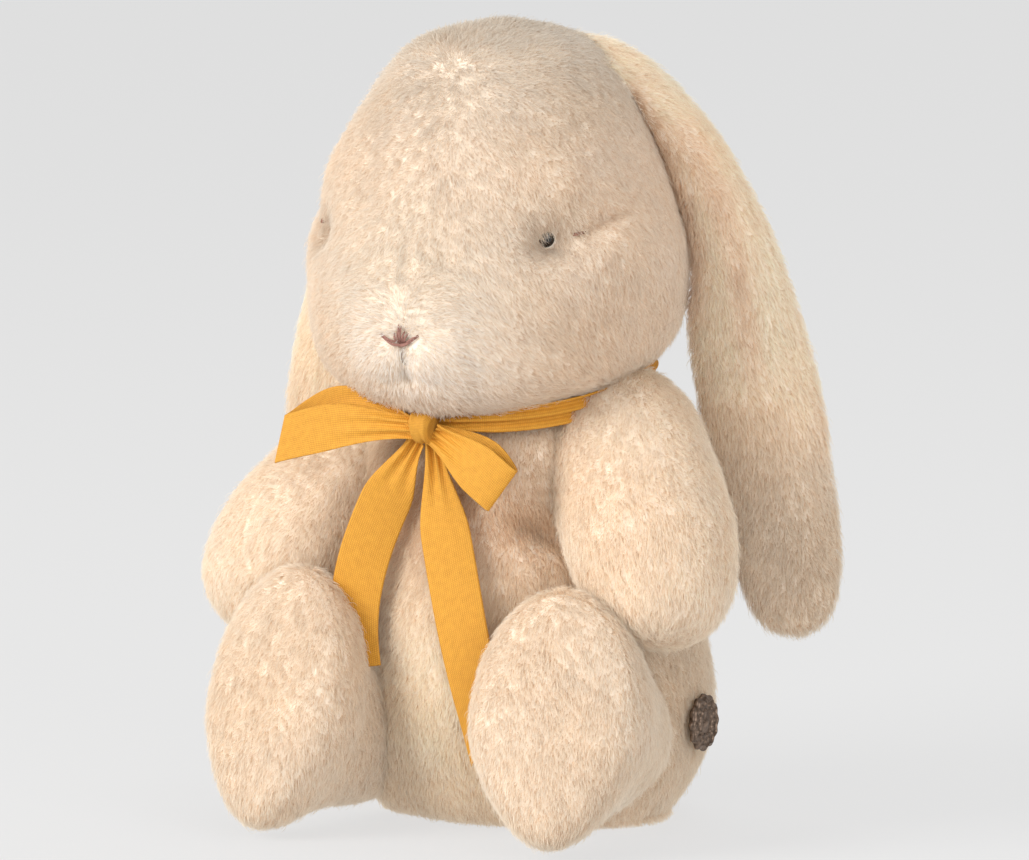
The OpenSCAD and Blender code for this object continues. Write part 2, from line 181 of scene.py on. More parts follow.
def groove(p, path, width, fade=0.18):
    """A soft groove along a path, which fades out at both ends."""
    gap, along = near_path(p, path)
    ends = smooth(along / fade) * smooth((1 - along) / fade)
    return np.exp(-(gap / width) ** 2) * ends


# ---------------------------------------- lofts
def spline(stations, count):
    """A smooth curve through equally spaced stations."""
    s = np.array(stations, float)
    n = len(s) - 1
    t = np.linspace(0, n, count)
    i = np.minimum(t.astype(int), n - 1)
    f = (t - i)[:, None]
    a, b, c, d = s[np.maximum(i - 1, 0)], s[i], s[i + 1], s[np.minimum(i + 2, n)]
    bend = (2 * a - 5 * b + 4 * c - d) * f ** 2 + (3 * b - a - 3 * c + d) * f ** 3
    return 0.5 * (2 * b + (c - a) * f + bend)


def even(stations, count, ring):
    """Stations spaced evenly along the surface, where ring gives a station's points."""
    dense = spline(stations, 900)
    outline = np.array([ring(s, np.array([0.0, math.pi / 2, math.pi])) for s in dense])
    steps = np.linalg.norm(np.diff(outline, axis=0), axis=2).mean(1)
    return spaced(dense, np.concatenate([[0], np.cumsum(steps)]), count)


def loft(stations, rows, cols, ring):
    """A grid of rings, rows x cols x 3."""
    angles = turns(cols)
    return np.array([ring(s, angles) for s in even(stations, rows, ring)])


def grid_normals(grid):
    """Outward normals of a grid of rings."""
    along = np.gradient(grid, axis=0)
    across = np.roll(grid, -1, 1) - np.roll(grid, 1, 1)
    n = unit(np.cross(across, along))
    outward = unit(grid - grid.mean(1, keepdims=True))
    return n if (n * outward).sum(2).mean() > 0 else -n


def sculpt(grid, amount):
    """Moves a grid along its normals by amount(points), then returns it."""
    return grid + grid_normals(grid) * amount(grid)[..., None]


def add(name, data):
    """A new object in the scene."""
    obj = bpy.data.objects.new(name, data)
    bpy.context.scene.collection.objects.link(obj)
    return obj


def new_mesh(name, points, faces, closed=True):
    """A smooth shaded object from points in mm; a closed one's faces are turned outward."""
    points = np.asarray(points, float)
    faces = [list(f) for f in faces]
    if closed:
        tris = np.array([[f[0], f[i], f[i + 1]] for f in faces for i in range(1, len(f) - 1)])
        a, b, c = (points[tris[:, k]] for k in range(3))
        if (np.cross(a, b) * c).sum() < 0:
            faces = [f[::-1] for f in faces]
    mesh = bpy.data.meshes.new(name)
    mesh.from_pydata((points * MM).tolist(), [], faces)
    mesh.shade_smooth()
    return add(name, mesh)


def grid_faces(rows, cols, offset=0):
    """Quads over a grid whose columns close into rings."""
    r, c = np.meshgrid(np.arange(rows - 1), np.arange(cols), indexing="ij")
    k = (c + 1) % cols
    quads = np.stack([r * cols + c, r * cols + k, (r + 1) * cols + k, (r + 1) * cols + c], -1)
    return quads.reshape(-1, 4) + offset


def closed_mesh(name, grid):
    """A closed mesh over a grid of rings, with a fan over each end."""
    rows, cols = grid.shape[:2]
    points = np.concatenate([grid.reshape(-1, 3), [grid[0].mean(0)], [grid[-1].mean(0)]])
    c = np.arange(cols)
    k = (c + 1) % cols
    first = np.stack([c, k, np.full(cols, rows * cols)], 1)
    last = np.stack([c, k, np.full(cols, rows * cols + 1)], 1) + [
        (rows - 1) * cols, (rows - 1) * cols, 0]
    faces = grid_faces(rows, cols).tolist() + first[:, ::-1].tolist() + last.tolist()
    return new_mesh(name, points, faces)


def ball_angles(rows, cols, pole=0.03):
    """The angle from the top and the angle round, over a grid on a ball."""
    return np.meshgrid(np.linspace(pole, math.pi - pole, rows), turns(cols), indexing="ij")


def ball(rows, cols, pole=0.03, flattening=1.0):
    """A grid of rings on a ball of radius 1, flattened along Z."""
    v, a = ball_angles(rows, cols, pole)
    return np.stack([np.sin(v) * np.cos(a), np.sin(v) * np.sin(a), flattening * np.cos(v)], -1)


def declare(obj, finish, body, nodes):
    """Gives a mesh its material and body, and hides the CAD nodes it stands for."""
    obj.data.materials.append(finish)
    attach(obj, body)
    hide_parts(*nodes)
    return obj


# ---------------------------------------- materials
def material(name, colour, roughness=0.8, **values):
    """A plain material; values set other inputs of its shader by name."""
    m = bpy.data.materials.new(name)
    m.use_nodes = True
    shader = m.node_tree.nodes["Principled BSDF"]
    shader.inputs["Base Color"].default_value = (*colour, 1)
    shader.inputs["Roughness"].default_value = roughness
    for key, value in values.items():
        shader.inputs[key.replace("_", " ")].default_value = value
    return m


def node(m, kind, **values):
    """Adds a node and sets its inputs or, failing that, its settings."""
    n = m.node_tree.nodes.new(kind)
    for key, value in values.items():
        if key in n.inputs:
            n.inputs[key].default_value = value
        else:
            setattr(n, key, value)
    return n


def wire(m, *joins):
    """Joins a material's nodes; each join is source, output, target, input."""
    for source, output, target, place in joins:
        m.node_tree.links.new(source.outputs[output], target.inputs[place])


def colour_ramp(m, start, first, end, last):
    """A ramp from the first colour, at start, to the last, at end."""
    ramp = node(m, "ShaderNodeValToRGB")
    for element, position, colour in zip(ramp.color_ramp.elements, (start, end), (first, last)):
        element.position = position
        element.color = (*colour, 1)
    return ramp


def mottled(m, light, dark, scale, bump=0.0, distance=0.0004, detail=4.0):
    """Varies a material's colour and surface with noise of some scale, per metre."""
    shader = m.node_tree.nodes["Principled BSDF"]
    place = node(m, "ShaderNodeTexCoord")
    grain = node(m, "ShaderNodeTexNoise", Scale=scale, Detail=detail)
    ramp = colour_ramp(m, 0.3, dark, 0.7, light)
    wire(m, (place, "Object", grain, "Vector"), (grain, "Fac", ramp, "Fac"),
         (ramp, "Color", shader, "Base Color"))
    if bump:
        raised = node(m, "ShaderNodeBump", Strength=bump, Distance=distance)
        wire(m, (grain, "Fac", raised, "Height"), (raised, "Normal", shader, "Normal"))
    return m


FUR_LIGHT = (0.95, 0.865, 0.755)
FUR_MID = (0.915, 0.80, 0.655)
skin_fur = mottled(material("plush", FUR_MID, 0.9), FUR_LIGHT, FUR_MID, 900, 0.5)
filling = mottled(material("fibre_filling", (0.8, 0.78, 0.72), 0.95),
                  (0.85, 0.83, 0.78), (0.7, 0.68, 0.62), 400, 0.6)
bead = material("eye_bead", (0.012, 0.009, 0.008), 0.12, Coat_Weight=0.6)
thread = mottled(material("embroidery", (0.30, 0.14, 0.11), 0.7),
                 (0.38, 0.19, 0.15), (0.20, 0.09, 0.07), 2500, 0.6)
mouth_thread = mottled(material("mouth_thread", (0.3, 0.25, 0.2), 0.7),
                       (0.34, 0.27, 0.21), (0.2, 0.15, 0.12), 2500, 0.6)
eye_tie_thread = mottled(material("inner_thread", (0.34, 0.18, 0.12), 0.8),
                         (0.38, 0.2, 0.14), (0.24, 0.12, 0.08), 2000, 0.4)
bronze = mottled(material("aged_bronze", (0.16, 0.11, 0.08), 0.42, Metallic=0.7),
                 (0.27, 0.19, 0.14), (0.07, 0.045, 0.03), 700, 0.25)
pouch_cloth = mottled(material("pouch_cloth", (0.8, 0.8, 0.76), 0.9),
                      (0.84, 0.84, 0.8), (0.7, 0.7, 0.66), 1500, 0.5)
pellet_plastic = mottled(material("pellet_plastic", (0.85, 0.86, 0.9), 0.35),
                         (0.88, 0.89, 0.92), (0.78, 0.8, 0.84), 300, 0.1)


def hair_material():
    """Strands are darker at the root, and each has its own tone from its tone attribute."""
    m = bpy.data.materials.new("plush_strands")
    m.use_nodes = True
    nodes = m.node_tree.nodes
    nodes.remove(nodes["Principled BSDF"])
    tone = node(m, "ShaderNodeAttribute", attribute_name="tone")
    where = node(m, "ShaderNodeHairInfo")
    ramp = colour_ramp(m, 0, (0.83, 0.69, 0.57), 0.7, (1, 1, 1))
    mix = node(m, "ShaderNodeMix", data_type="RGBA", blend_type="MULTIPLY")
    mix.inputs[0].default_value = 1
    diffuse = node(m, "ShaderNodeBsdfDiffuse")
    glow = node(m, "ShaderNodeBsdfTranslucent")
    gloss = node(m, "ShaderNodeBsdfHair", RoughnessU=0.35, RoughnessV=0.6)
    gloss.inputs["Color"].default_value = (0.9, 0.85, 0.8, 1)
    soft = node(m, "ShaderNodeMixShader")
    soft.inputs[0].default_value = 0.38
    whole = node(m, "ShaderNodeMixShader")
    whole.inputs[0].default_value = 0.07
    wire(m, (where, "Intercept", ramp, "Fac"), (tone, "Color", mix, 6), (ramp, "Color", mix, 7),
         (mix, 2, diffuse, "Color"), (mix, 2, glow, "Color"), (diffuse, 0, soft, 1),
         (glow, 0, soft, 2), (soft, 0, whole, 1), (gloss, 0, whole, 2),
         (whole, 0, nodes["Material Output"], "Surface"))
    return m


strand_fur = hair_material()


# ---------------------------------------- fur
def fur_tone(p, base, rng):
    """The colour of each strand: patches, tufts and its own variation."""
    patch = 0.5 + 0.5 * noise(p, 17, 5)
    tuft = noise(p, 3.1, 6)
    own = rng.normal(0, 0.03, len(p)) + 0.07 * (rng.random(len(p)) < 0.12)
    own = own - 0.09 * (rng.random(len(p)) < 0.12)
    colour = np.array(FUR_MID) + (np.array(FUR_LIGHT) - FUR_MID) * patch[:, None]
    level = 1 + 0.025 * tuft + own
    return np.clip(colour * base * level[:, None], 0, 1)


def read(items, field, kind=float):
    """One field of a mesh's vertices or triangles, as rows of three."""
    values = np.zeros(len(items) * 3, kind)
    items.foreach_get(field, values)
    return values.reshape(-1, 3)


def grow_fur(skin, seed, length=4.0, lift=1.8, comb=None, colour_and_painted_light=None, bald=None):
    """Strands over a skin, combed along comb(points) and kept off where bald(points) is 1."""
    rng = np.random.default_rng(seed)
    mesh = skin.data
    mesh.calc_loop_triangles()
    points = read(mesh.vertices, "co") / MM
    normals = read(mesh.vertices, "normal")
    tris = read(mesh.loop_triangles, "vertices", np.int32)
    corners = points[tris]
    area = 0.5 * np.linalg.norm(
        np.cross(corners[:, 1] - corners[:, 0], corners[:, 2] - corners[:, 0]), axis=1)
    count = int(area.sum() * STRANDS)
    pick = rng.choice(len(tris), count, p=area / area.sum())
    u, v = rng.random(count), rng.random(count)
    over = u + v > 1
    u[over], v[over] = 1 - u[over], 1 - v[over]
    w = np.stack([1 - u - v, u, v], 1)
    root = (corners[pick] * w[..., None]).sum(1)
    normal = unit((normals[tris[pick]] * w[..., None]).sum(1))
    if bald is not None:
        keep = rng.random(count) > bald(root)
        root, normal = root[keep], normal[keep]
    count = len(root)

    flow = np.tile([0.0, 0.0, -1.0], (count, 1)) if comb is None else comb(root)
    flow = flow + 0.28 * np.stack([noise(root, 14, seed + k) for k in (1, 2, 3)], 1)
    flow = flow + 0.22 * np.stack([noise(root, 3.2, seed + k) for k in (4, 5, 6)], 1)
    flow = flow + 0.12 * rng.normal(size=(count, 3))
    flow = unit(square_to(flow, normal))

    size = length * rng.uniform(0.55, 1.1, count) * (1 + 0.18 * noise(root, 9, seed + 7))
    rise = lift * rng.uniform(0.55, 1.15, count)
    stray = rng.random(count) < 0.05
    rise[stray] *= 1.5
    size[stray] *= 1.15
    fine = nearest_tuft(root, 2.3, seed + 11) - root
    coarse = nearest_tuft(root, 6.5, seed + 21) - root
    pull = square_to(0.15 * fine + 0.05 * coarse, normal)
    pull[stray] *= 0.2
    drift = 0.35 * rng.normal(size=(count, 3))

    t = np.linspace(0, 1, STRAND_POINTS)[None, :, None]
    line = root[:, None] + normal[:, None] * (rise[:, None, None] * np.sin(t * 1.9))
    line = line + flow[:, None] * (size[:, None, None] * t ** 1.35)
    line = line + pull[:, None] * t ** 1.5 + drift[:, None] * t ** 2

    name = skin.name + "_fur"
    curves = bpy.data.hair_curves.new(name)
    curves.add_curves([STRAND_POINTS] * count)
    curves.position_data.foreach_set("vector", (line * MM).astype(np.float32).ravel())
    taper = np.array([1.0, 0.95, 0.8, 0.55, 0.12]) * STRAND_RADIUS * MM
    thick = rng.uniform(0.75, 1.25, count)[:, None] * taper[None]
    radius = curves.attributes.new("radius", "FLOAT", "POINT")
    radius.data.foreach_set("value", thick.astype(np.float32).ravel())
    # strand colour, with the painted shade and painted highlight of the head, torso and ear tints
    base = np.ones((count, 3)) if colour_and_painted_light is None else colour_and_painted_light(root)
    tone = np.ones((count, 4), np.float32)
    tone[:, :3] = fur_tone(root, base, rng)
    shade = curves.attributes.new("tone", "FLOAT_COLOR", "CURVE")
    shade.data.foreach_set("color", tone.ravel())
    curves.materials.append(strand_fur)
    add(name, curves).parent = skin


def tufts(p, seed, size=0.35):
    """The fine uneven surface of brushed fur, drawn out downwards."""
    stretched = p * np.array([1, 1, 0.45])
    return size * (0.6 * noise(stretched, 2.2, seed) + 0.4 * noise(stretched, 4.5, seed + 1))


def lumps(p, seed, size=0.7):
    """The broad unevenness of hand-stuffed filling."""
    return size * (0.65 * noise(p, 26, seed) + 0.35 * noise(p, 12, seed + 1))


def finish_skin(obj, body, nodes):
    """Makes a mesh the stuffed plush skin that stands for some CAD nodes on a body."""
    return declare(obj, skin_fur, body, nodes)


# ---------------------------------------- head
head_high = cad_box("face_left", "face_right", "head_back")[1]
HW = head_high[0]
HT = head_high[2]
# height, centre y, half width, reach to the front and back, lean in degrees
HEAD = [
    [140.4, -3, 4, 4, 4, 12],
    [140.6, -3, 24, 27, 22, 12],
    [142.6, -3.5, 39, 45, 37, 12],
    [147.2, -5, HW - 7.5, 57, 48, 9],
    [155, -6, HW - 2.2, 63.5, 57, 6],
    [168, -7, HW - 0.4, 66, 62.5, 2],
    [184, -7, HW - 0.6, 64, 62, 0],
    [201, -7, HW - 5, 58, 57.5, 0],
    [218, -7, HW - 12, 50, 50.5, 0],
    [233, -6, HW - 20, 40, 42.5, 0],
    [244, -5, HW - 29, 29.5, 31, 0],
    [HT - 4.8, -4, HW - 41, 17, 17.5, 0],
    [HT - 2.2, -3, 3, 3, 3, 0],
]


def oval_ring(s, a):
    """A ring round one station of the head or the torso."""
    x = s[2] * np.cos(a)
    y = np.where(np.sin(a) < 0, s[3], s[4]) * np.sin(a)
    lean = math.radians(s[5])
    return np.stack([x, s[1] + y * math.cos(lean), s[0] + y * math.sin(lean)], -1)


eye_left = cad_centre("eye_left")
nose = cad_centre("nose_stitch")


def mirror(p, side):
    """Points of the left side (1), or their mirror images on the right (-1)."""
    return np.asarray(p, float) * [side, 1, 1]


EYE = eye_left + [2.0, 0.3, -1.2]
EYE_AXIS = np.array([0, -4, 190])    # the eyes are pulled in towards this point
# by side, 1 left and -1 right: how deep each bead's middle lies, the depth of the wide
# hollow round it, the crease's strength beside it and the fullness of the cheek below it
EYE_SUNK = {1: 11.6, -1: 10.6}
EYE_HOLLOW = {1: 2.0, -1: 1.0}
CREASE_STRENGTH = {1: 0.62, -1: 0.25}
CHEEK = {1: 2.6, -1: 0.8}
BEAD_RADIUS = 4
BEAD_FLATTENING = 0.86
CREASE = [[44.5, -45.5, 189], [47, -42, 190], [51, -34, 193], [55, -25, 195], [57.5, -13, 195.5]]


# brow, muzzle and the dip beside the muzzle: height, place and radius of each
FACE_HILLS = [(1.2, [44, -40, 209], [15, 18, 11]), (2.2, [9.5, -71, 152], [9, 9, 7.5]),
              (-1.0, [25, -65, 160], [8, 12, 16])]


def head_shape(p):
    """How far the head's surface is pulled in or pushed out, in mm."""
    out = lumps(p, 3, 0.8) + tufts(p, 8) - SKIN_INSET
    for side in SIDES:
        eye = mirror(EYE, side)
        out = out - 6.4 * hill(p, eye, [8, 8, 6.5]) - EYE_HOLLOW[side] * hill(p, eye, [19, 19, 13])
        gap, along = near_path(p, mirror(CREASE, side))
        above = p[..., 2] - np.interp(along, np.linspace(0, 1, len(CREASE)),
                                      [q[2] for q in CREASE])
        strength = CREASE_STRENGTH[side] * smooth((along - 0.02) / 0.35) * smooth(
            (1.05 - along) / 0.6) * np.exp(-(gap / 13) ** 4)
        fold = -3.0 * np.exp(-((above - 1.6) / 2.4) ** 2) - 1.6 * np.exp(-((above - 6) / 6) ** 2)
        fold = fold + 2.4 * np.exp(-((above + 5.5) / 4.2) ** 2)
        out = out + strength * fold
        out = out + CHEEK[side] * hill(p, mirror([50, -34, 182], side), [13, 20, 11])
        for height, place, radius in FACE_HILLS:
            out = out + height * hill(p, mirror(place, side), radius)
    seam = groove(p, [[0, -60, 222], [0, -68, 205], [0, -71, 188], [0, -72, 168]], 1.6)
    out = out - 0.9 * seam
    out = out - 2.4 * groove(p, [[0, -73, 158], [0, -71, 150], [0, -66, 144]], 2.2, 0.1)
    out = out - 2.2 * hill(p, nose, [7, 9, 4])
    for side in SIDES:
        chin = mirror([[0, -68, 148], [7, -68, 145.5], [13, -64, 146.5]], side)
        out = out - 0.9 * groove(p, chin, 2.0, 0.05)
    return out


head = closed_mesh("head", sculpt(loft(HEAD, 170, 300, oval_ring), head_shape))
finish_skin(head, "head", ["face_left", "face_right", "head_back", "head_stuffing"])


def head_comb(p):
    """Fur falls down and away from the middle of the face."""
    side = np.sign(p[:, :1]) * smooth(np.abs(p[:, :1]) / 20)
    low = smooth((200 - p[:, 2:]) / 50)
    away = columns(side * (0.35 + 0.3 * low), 0.15, -1 + 0.25 * low)
    ring = unit(p - nose)
    close = np.exp(-((np.linalg.norm(p - nose, axis=1) / 22) ** 2))[:, None]
    back = columns(0, 0.9 * smooth((p[:, 2:] - 225) / 20), 0)
    return away * (1 - close) + ring * close * 1.2 + back


def head_tint_and_painted_light(p):
    """Whiter round the muzzle and greyer towards the top; the face front is painted whiter as a
    painted highlight, and painted shade darkens the dimples round the eyes.
    """
    muzzle = hill(p, nose + [0, 0, -4], [24, 20, 17])[:, None]
    top = smooth((p[:, 2:] - 205) / 45)
    # painted highlight: the front of the face is painted whiter, standing in for the light falling
    # on it
    face = hill(p, nose + [0, 0, 18], [44, 40, 38])[:, None]
    sides = smooth(np.abs(p[:, :1]) / 55)
    base = np.ones((len(p), 3)) * (0.92 + 0.07 * sides)
    base = base * (1 + muzzle * np.array([0.08, 0.16, 0.3]) + face * np.array([0.0, 0.06, 0.12]))
    # painted shade: the fur in the dimples round the eyes is painted darker
    shade = sum(hill(p, mirror(EYE, side) - [side * 2, -3, -1], [10, 12, 9]) for side in SIDES)
    base = base * (1 - shade[:, None] * np.array([0.16, 0.17, 0.18]))
    return base * (1 - top * np.array([0.13, 0.10, 0.07]))


def head_bald(p):
    """No fur over the eyes, the nose or the mouth."""
    off = np.zeros(len(p))
    for side in SIDES:
        eye = mirror(EYE, side)
        inward = unit(EYE_AXIS - eye)
        gap = p - eye - inward * ((p - eye) @ inward)[:, None]
        off = np.maximum(off, np.linalg.norm(gap * [1, 1, 0.85], axis=1) < 2.5)
    bar = (np.abs(p[:, 0]) < 6) & (np.abs(p[:, 2] - nose[2] + 0.4) < 1.8) & (p[:, 1] < -50)
    mouth = (np.abs(p[:, 0] - 0.4) < 0.9) & (np.abs(p[:, 2] - nose[2] + 6) < 3) & (p[:, 1] < -50)
    return np.maximum(off, 0.8 * (bar | mouth))


grow_fur(head, 100, 3.8, 1.7, head_comb, head_tint_and_painted_light, head_bald)

# ---------------------------------------- eyes and face stitches
bead_places = []
for side, label in SIDES.items():
    centre = mirror(EYE, side)
    outward = unit(centre - EYE_AXIS)
    turn = Vector(outward).to_track_quat("Z", "Y").to_matrix()
    middle = centre - outward * EYE_SUNK[side]
    bead_grid = ball(40, 40, 0.04, BEAD_FLATTENING) * BEAD_RADIUS @ np.array(turn).T + middle
    bead_places.append(middle)
    declare(closed_mesh("bead_" + label, bead_grid), bead, "head", ["eye_" + label])


def tube(points, radius, sides=10, taper=0.0):
    """Rings round a line of points, for threads."""
    points = np.asarray(points, float)
    along = unit(np.gradient(points, axis=0))
    across = unit(np.cross(along, [0.3, 0.9, 0.2]))
    up = np.cross(along, across)
    a = turns(sides)
    t = np.linspace(-1, 1, len(points))
    r = radius * (1 - taper * np.abs(t) ** 3)
    ring = across[:, None] * np.cos(a)[None, :, None] + up[:, None] * np.sin(a)[None, :, None]
    return points[:, None] + ring * r[:, None, None]


def threads(name, lines, radius, node_names, body, finish):
    """Several threads as one piece."""
    points, faces, offset = [], [], 0
    for line in lines:
        grid = tube(line, radius, 8, 0.55)
        rows, cols = grid.shape[:2]
        points.append(grid.reshape(-1, 3))
        faces += grid_faces(rows, cols, offset)[:, ::-1].tolist()
        faces.append([offset + i for i in range(cols)])
        faces.append([offset + (rows - 1) * cols + i for i in range(cols)][::-1])
        offset += rows * cols
    return declare(new_mesh(name, np.concatenate(points), faces), finish, body, node_names)


def on_head(x, z, out):
    """A point on the head's skin in front of (x, z), and out mm further forward."""
    hit, place, _, _ = head.ray_cast(Vector((x * MM, -0.2, z * MM)), Vector((0, 1, 0)))
    y = place.y / MM if hit else nose[1]
    return np.array([x, y - out, z])


bpy.context.view_layer.update()
NX, NZ = nose[0], nose[2]


def stitch(x0, z0, x1, z1, lift=1.2, sag=0.0, count=13):
    """A stitch on the face from (x0, z0) to (x1, z1), its middle sag mm lower."""
    t = np.linspace(0, 1, count)
    middle = np.sin(t * math.pi)
    return [on_head(NX + x0 + (x1 - x0) * a, NZ + z0 + (z1 - z0) * a - sag * m, lift * (0.25 + m))
            for a, m in zip(t, middle)]


nose_lines = [stitch(-7.4, 0.9, 6.4, 0.9, 1.5, 2.9, 25), stitch(-6.6, 0.5, 5.6, 0.5, 1.5, 2.9, 25)]
nose_lines += [stitch(-7.0, 1.3, -0.2, -1.6, 1.4, 0.4), stitch(6.2, 1.3, 0.2, -1.6, 1.4, 0.4)]
nose_lines += [stitch(k * 1.5, 3.0 - abs(k) * 0.9, k * 0.4, -2.6 + 0.3 * abs(k), 1.7)
               for k in (-1.6, -0.8, 0.0, 0.8, 1.6)]
nose_lines += [stitch(-0.4, 4.4, 0.1, -2.0, 1.8), stitch(0.3, 3.8, -0.1, -2.4, 1.8)]
threads("nose_embroidery", nose_lines, 0.33, ["nose_stitch"], "head", thread)
mouth_lines = [stitch(k, -3.2, 0.6 + k, -8.6, 1.4) for k in (-0.25, 0.25)]
threads("mouth_embroidery", mouth_lines, 0.26, ["mouth_stitch"], "head",
        mouth_thread)
tie_lines = [np.linspace(bead_places[0] - [1, 0, 0], bead_places[1] + [1, 0, 0], 20)]
for side in SIDES:
    for dz in (0.0, 0.5):
        t = np.linspace(0, 1, 9)
        tie_lines.append([on_head(side * (43.4 + 2.4 * a), 189.8 + dz + 0.5 * a,
                                  1.6 * (0.3 + math.sin(a * math.pi))) for a in t])
threads("eye_tie", tie_lines, 0.26, ["eye_thread"], "head", eye_tie_thread)

# ---------------------------------------- ears
# x, y, z, half width, half thickness, turn of the width in degrees
EAR = [
    [18, 6, 243.5, 6.5, 2.5, 66],
    [26, 9.5, 240.5, 8.5, 3.6, 62],
    [35.8, 13.5, 234, 9, 4.4, 56],
    [45, 17, 223.8, 9.3, 5.0, 50],
    [53.4, 20, 211, 9.8, 5.2, 44],
    [61.4, 22, 195.6, 10.8, 5.3, 39],
    [66.9, 23.5, 178.4, 13, 5.4, 35],
    [69.8, 25, 157, 17.0, 5.4, 32],
    [74.4, 26.5, 133, 18.0, 5.4, 30],
    [79.5, 28, 104, 17.4, 5.4, 30],
    [83, 28.6, 84, 15.7, 5.0, 30],
    [85.3, 28.8, 71, 12.6, 4.6, 30],
    [86.6, 28.8, 63.8, 7.8, 3.4, 30],
    [87.1, 28.8, 61.2, 0.8, 0.5, 30],
]


def ear_grid(extra_turn, further_out):
    """The left ear: a flat cupped loft with a fold down its front."""
    rows, cols = 210, 110
    dense = spline(EAR, 900)
    dense[:, 0] += further_out * smooth((240 - dense[:, 2]) / 60)
    length = run(dense[:, :3])
    s = spaced(dense, length, rows)
    along = unit(np.gradient(s[:, :3], axis=0))
    turn = np.radians(s[:, 5] + extra_turn)
    flat = np.stack([np.cos(turn), np.sin(turn), 0 * turn], 1)
    wide = unit(square_to(flat, along))
    thick = np.cross(along, wide)
    a = turns(cols)
    w = np.cos(a)[None] * s[:, 3:4]
    rounded = np.sign(np.sin(a)) * np.abs(np.sin(a)) ** 0.8
    t = rounded[None] * s[:, 4:5]
    share = w / np.maximum(s[:, 3:4], 0.1)
    down = np.linspace(0, length[-1], rows)[:, None] / length[-1]
    cup = 3.0 * share ** 2 * smooth(down / 0.15) * smooth((1 - down) / 0.2)
    fold = 2.4 * np.exp(-((share - 0.05) / 0.16) ** 2)
    fold = fold * smooth(down / 0.1) * smooth((0.9 - down) / 0.3)
    facing = (np.sin(a) < 0)[None]
    t = t - cup + np.where(facing, fold, 0)
    return s[:, None, :3] + wide[:, None] * w[..., None] + thick[:, None] * t[..., None]


def ear_comb(p):
    """Fur runs out from the root, then down the ear."""
    side = np.sign(p[:, :1])
    t = smooth((235 - p[:, 2:]) / 40)
    return columns(side * (1.1 - 0.85 * t), 0.15, -0.3 - 0.7 * t)


HEAD_MIDDLE_Y = -7           # where the head is widest


def share_of_head(p, gap=1.6):
    """1 on a surface a gap outside the head, less inside it."""
    heads = np.array(HEAD)
    half = np.interp(p[..., 2], heads[:, 0], heads[:, 2]) + gap
    reach = np.interp(p[..., 2], heads[:, 0], heads[:, 4]) + gap
    return np.sqrt((p[..., 0] / half) ** 2 + ((p[..., 1] - HEAD_MIDDLE_Y) / reach) ** 2)


def ear_tint_and_painted_shade(p):
    """Painted shade where the ear meets the head and along the fold down its middle; lighter
    overall and darker towards the bottom.
    """
    q = p * [np.sign(p[0, 0]), 1, 1]
    # painted shade: the fur is painted darker where the ear meets the head and along its fold
    beside = smooth((p[:, 2] - 150) / 20) * smooth((236 - p[:, 2]) / 12)
    shade = 0.9 * beside * np.exp(-((share_of_head(p) - 1) / 0.07) ** 2)
    middle, along = near_path(q, [station[:3] for station in EAR[3:10]])
    fold = np.exp(-((middle - 4.0) / 1.6) ** 2)
    fold = fold * smooth(along / 0.1) * smooth((0.85 - along) / 0.4)
    shade = np.maximum(shade, 0.55 * fold)[:, None]
    level = 1.05 - 0.16 * smooth((150 - p[:, 2:]) / 60)
    return level * (np.array([1.05, 1.065, 1.06]) - shade * np.array([0.24, 0.36, 0.46]))


def ear_out_of_head(grid):
    """Keeps the ear's inner edge just outside the head."""
    p = grid.copy()
    k = share_of_head(p)
    inside = (k < 1) & (p[..., 2] > 145) & (p[..., 2] < 238)
    k = np.where(inside, np.maximum(k, 0.05), 1)
    p[..., 0] = p[..., 0] / k
    p[..., 1] = (p[..., 1] - HEAD_MIDDLE_Y) / k + HEAD_MIDDLE_Y
    return p


for side, label, extra, out in ((1, "left", -6, 0), (-1, "right", -20, 3.0)):
    grid = ear_out_of_head(ear_grid(extra, out))
    grid = sculpt(grid, lambda p: lumps(p, 31, 0.6) + tufts(p, 33) - 0.5 * SKIN_INSET)
    grid = grid * [side, 1, 1]
    ear = closed_mesh("ear_" + label, grid)
    finish_skin(ear, "ear_" + label,
                [f"ear_{label}_{part}" for part in ("front", "back", "filling")])
    grow_fur(ear, 200 + side, 4.4, 1.8, ear_comb, ear_tint_and_painted_shade)

# ---------------------------------------- torso
BW = 59.5
BODY = [
    [0.9, 8, 4, 4, 4, 0],
    [0.9, 8, BW - 17, 23, 42, 0],
    [3.5, 7, BW - 13, 33, 46.5, 0],
    [10, 7, BW - 8.5, 39.5, 53, 0],
    [22, 7, BW - 3.2, 44.5, 57, 0],
    [38, 7, BW - 0.6, 48, 57.5, 0],
    [58, 5.5, BW - 1.5, 48.5, 54, 0],
    [80, 3, BW - 6.5, 46.5, 49, 2],
    [102, 0, BW - 12, 43.5, 44, 6],
    [119, -1.5, BW - 14, 42.5, 41.5, 10],
    [131, -1, 42.5, 40.5, 39, 12],
    [138, -1, 34.5, 33, 32, 12],
    [140, -1, 4, 4, 4, 12],
]


